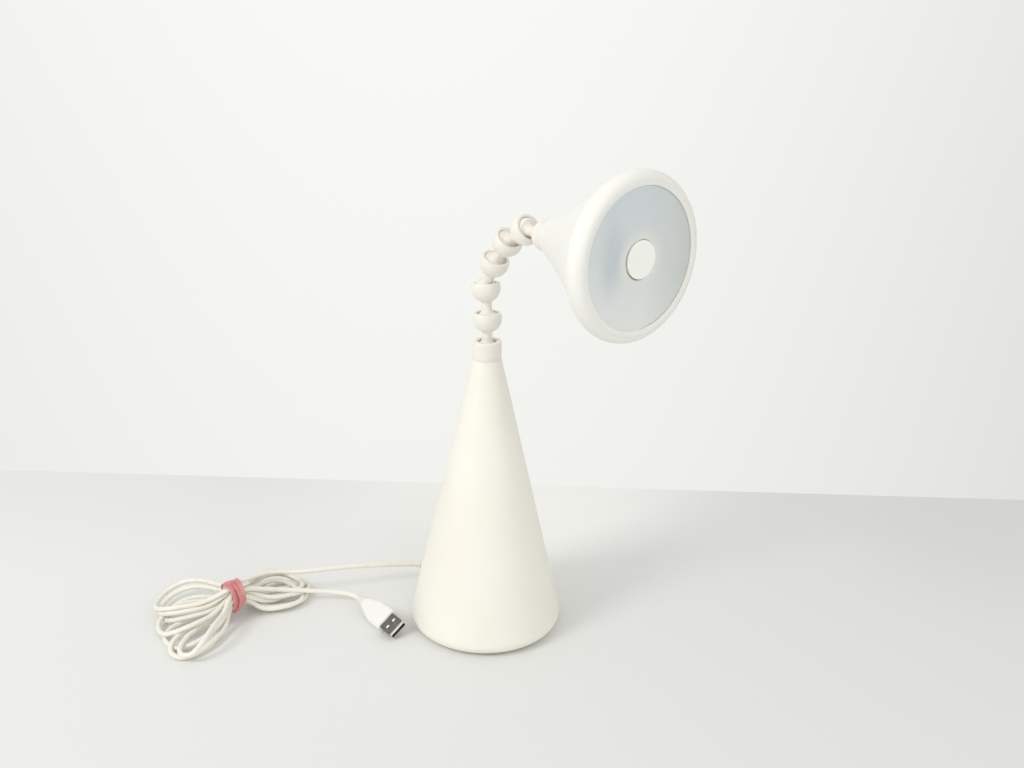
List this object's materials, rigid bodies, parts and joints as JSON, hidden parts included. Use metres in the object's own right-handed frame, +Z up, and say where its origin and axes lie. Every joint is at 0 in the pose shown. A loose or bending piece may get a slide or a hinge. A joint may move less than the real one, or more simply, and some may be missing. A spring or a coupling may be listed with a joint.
{
  "type": "desk lamp",
  "caption": "Small desk lamp with a hollow conical base, a ball-jointed flexible neck, a trumpet-shaped head with a frosted disc and central push button, and a hanked cord with a USB plug.",
  "frame": {"origin": "centre of the resting face of the foot pad, on the axis of the conical base", "axes": "+Z up along the base axis; -Y is the side that the head looks to; +X to the right seen from that side's back"},
  "size_m": [0.2375, 0.2854, 0.3135],
  "materials": {
    "foot_rubber": "dull soft pad",
    "base_plastic": "matt moulded",
    "base_cream": "satin moulded",
    "neck_plastic": "satin moulded",
    "head_white": "satin moulded",
    "button_white": "satin moulded",
    "diffuser_frost": "frosted, translucent",
    "inner_white": "matt white",
    "circuit_board": "solder mask",
    "led_yellow": "phosphor coating",
    "black_plastic": "matt",
    "lead_jacket": "soft jacket",
    "cord_white": "soft PVC jacket",
    "plug_white": "soft satin overmould",
    "band_rubber": "dull, slightly dusty",
    "steel": "zinc plated",
    "plug_steel": "nickel plated",
    "ballast_iron": "rough cast",
    "contact_brass": "plated"
  },
  "bodies": {
    "base": {"foot_pad": "foot_rubber", "base_plate": "base_plastic", "base_screws": "steel", "ballast_disc": "ballast_iron", "base_shell": "base_cream", "neck_collar": "neck_plastic", "collar_nut": "steel", "base_lead": "lead_jacket", "cord_strain_relief": "cord_white", "cord_base_run": "cord_white", "cord_hank": "cord_white", "cord_plug_run": "cord_white", "hank_band": "band_rubber", "plug_grip": "plug_white", "plug_shell": "plug_steel", "plug_tongue": "plug_white", "plug_contacts": "contact_brass"},
    "segment_1": {"neck_segment_1": "neck_plastic", "neck_lead_1": "lead_jacket"},
    "segment_2": {"neck_segment_2": "neck_plastic", "neck_lead_2": "lead_jacket"},
    "segment_3": {"neck_segment_3": "neck_plastic", "neck_lead_3": "lead_jacket"},
    "segment_4": {"neck_segment_4": "neck_plastic", "neck_lead_4": "lead_jacket"},
    "segment_5": {"neck_segment_5": "neck_plastic", "neck_lead_5": "lead_jacket"},
    "head": {"head_collar": "neck_plastic", "head_nut": "steel", "head_lead": "lead_jacket", "head_shell": "head_white", "head_bezel": "head_white", "diffuser": "diffuser_frost", "reflector": "inner_white", "led_board": "circuit_board", "led_chips": "led_yellow", "board_screws": "steel", "switch_body": "black_plastic"},
    "button": {"push_button": "button_white", "switch_plunger": "inner_white"}
  },
  "joints": [
    {"name": "neck_swivel", "type": "hinge", "parent": "base", "child": "segment_1", "pos_m": [0, 0, 0.192], "axis": [0, 0, 1], "range_deg": [-150, 150]},
    {"name": "neck_tilt_2", "type": "hinge", "parent": "segment_1", "child": "segment_2", "pos_m": [0, 0, 0.2108], "axis": [1, 0, 0], "range_deg": [-29, 25]},
    {"name": "neck_tilt_3", "type": "hinge", "parent": "segment_2", "child": "segment_3", "pos_m": [0, 0.00164, 0.22953], "axis": [1, 0, 0], "range_deg": [-64, 4]},
    {"name": "neck_tilt_4", "type": "hinge", "parent": "segment_3", "child": "segment_4", "pos_m": [0, -0.00631, 0.24657], "axis": [1, 0, 0], "range_deg": [-49, 19]},
    {"name": "neck_tilt_5", "type": "hinge", "parent": "segment_4", "child": "segment_5", "pos_m": [0, -0.01839, 0.26097], "axis": [1, 0, 0], "range_deg": [-54, 14]},
    {"name": "head_swivel", "type": "hinge", "parent": "segment_5", "child": "head", "pos_m": [0, -0.03467, 0.27037], "axis": [0, -0.866, 0.5], "range_deg": [-90, 90]},
    {"name": "button_press", "type": "slide", "parent": "head", "child": "button", "axis": [0, 0.9998, 0.0175], "range_m": [0, 0.0015], "stiffness_N_per_m": 800, "springref_m": -0.0006}
  ]
}
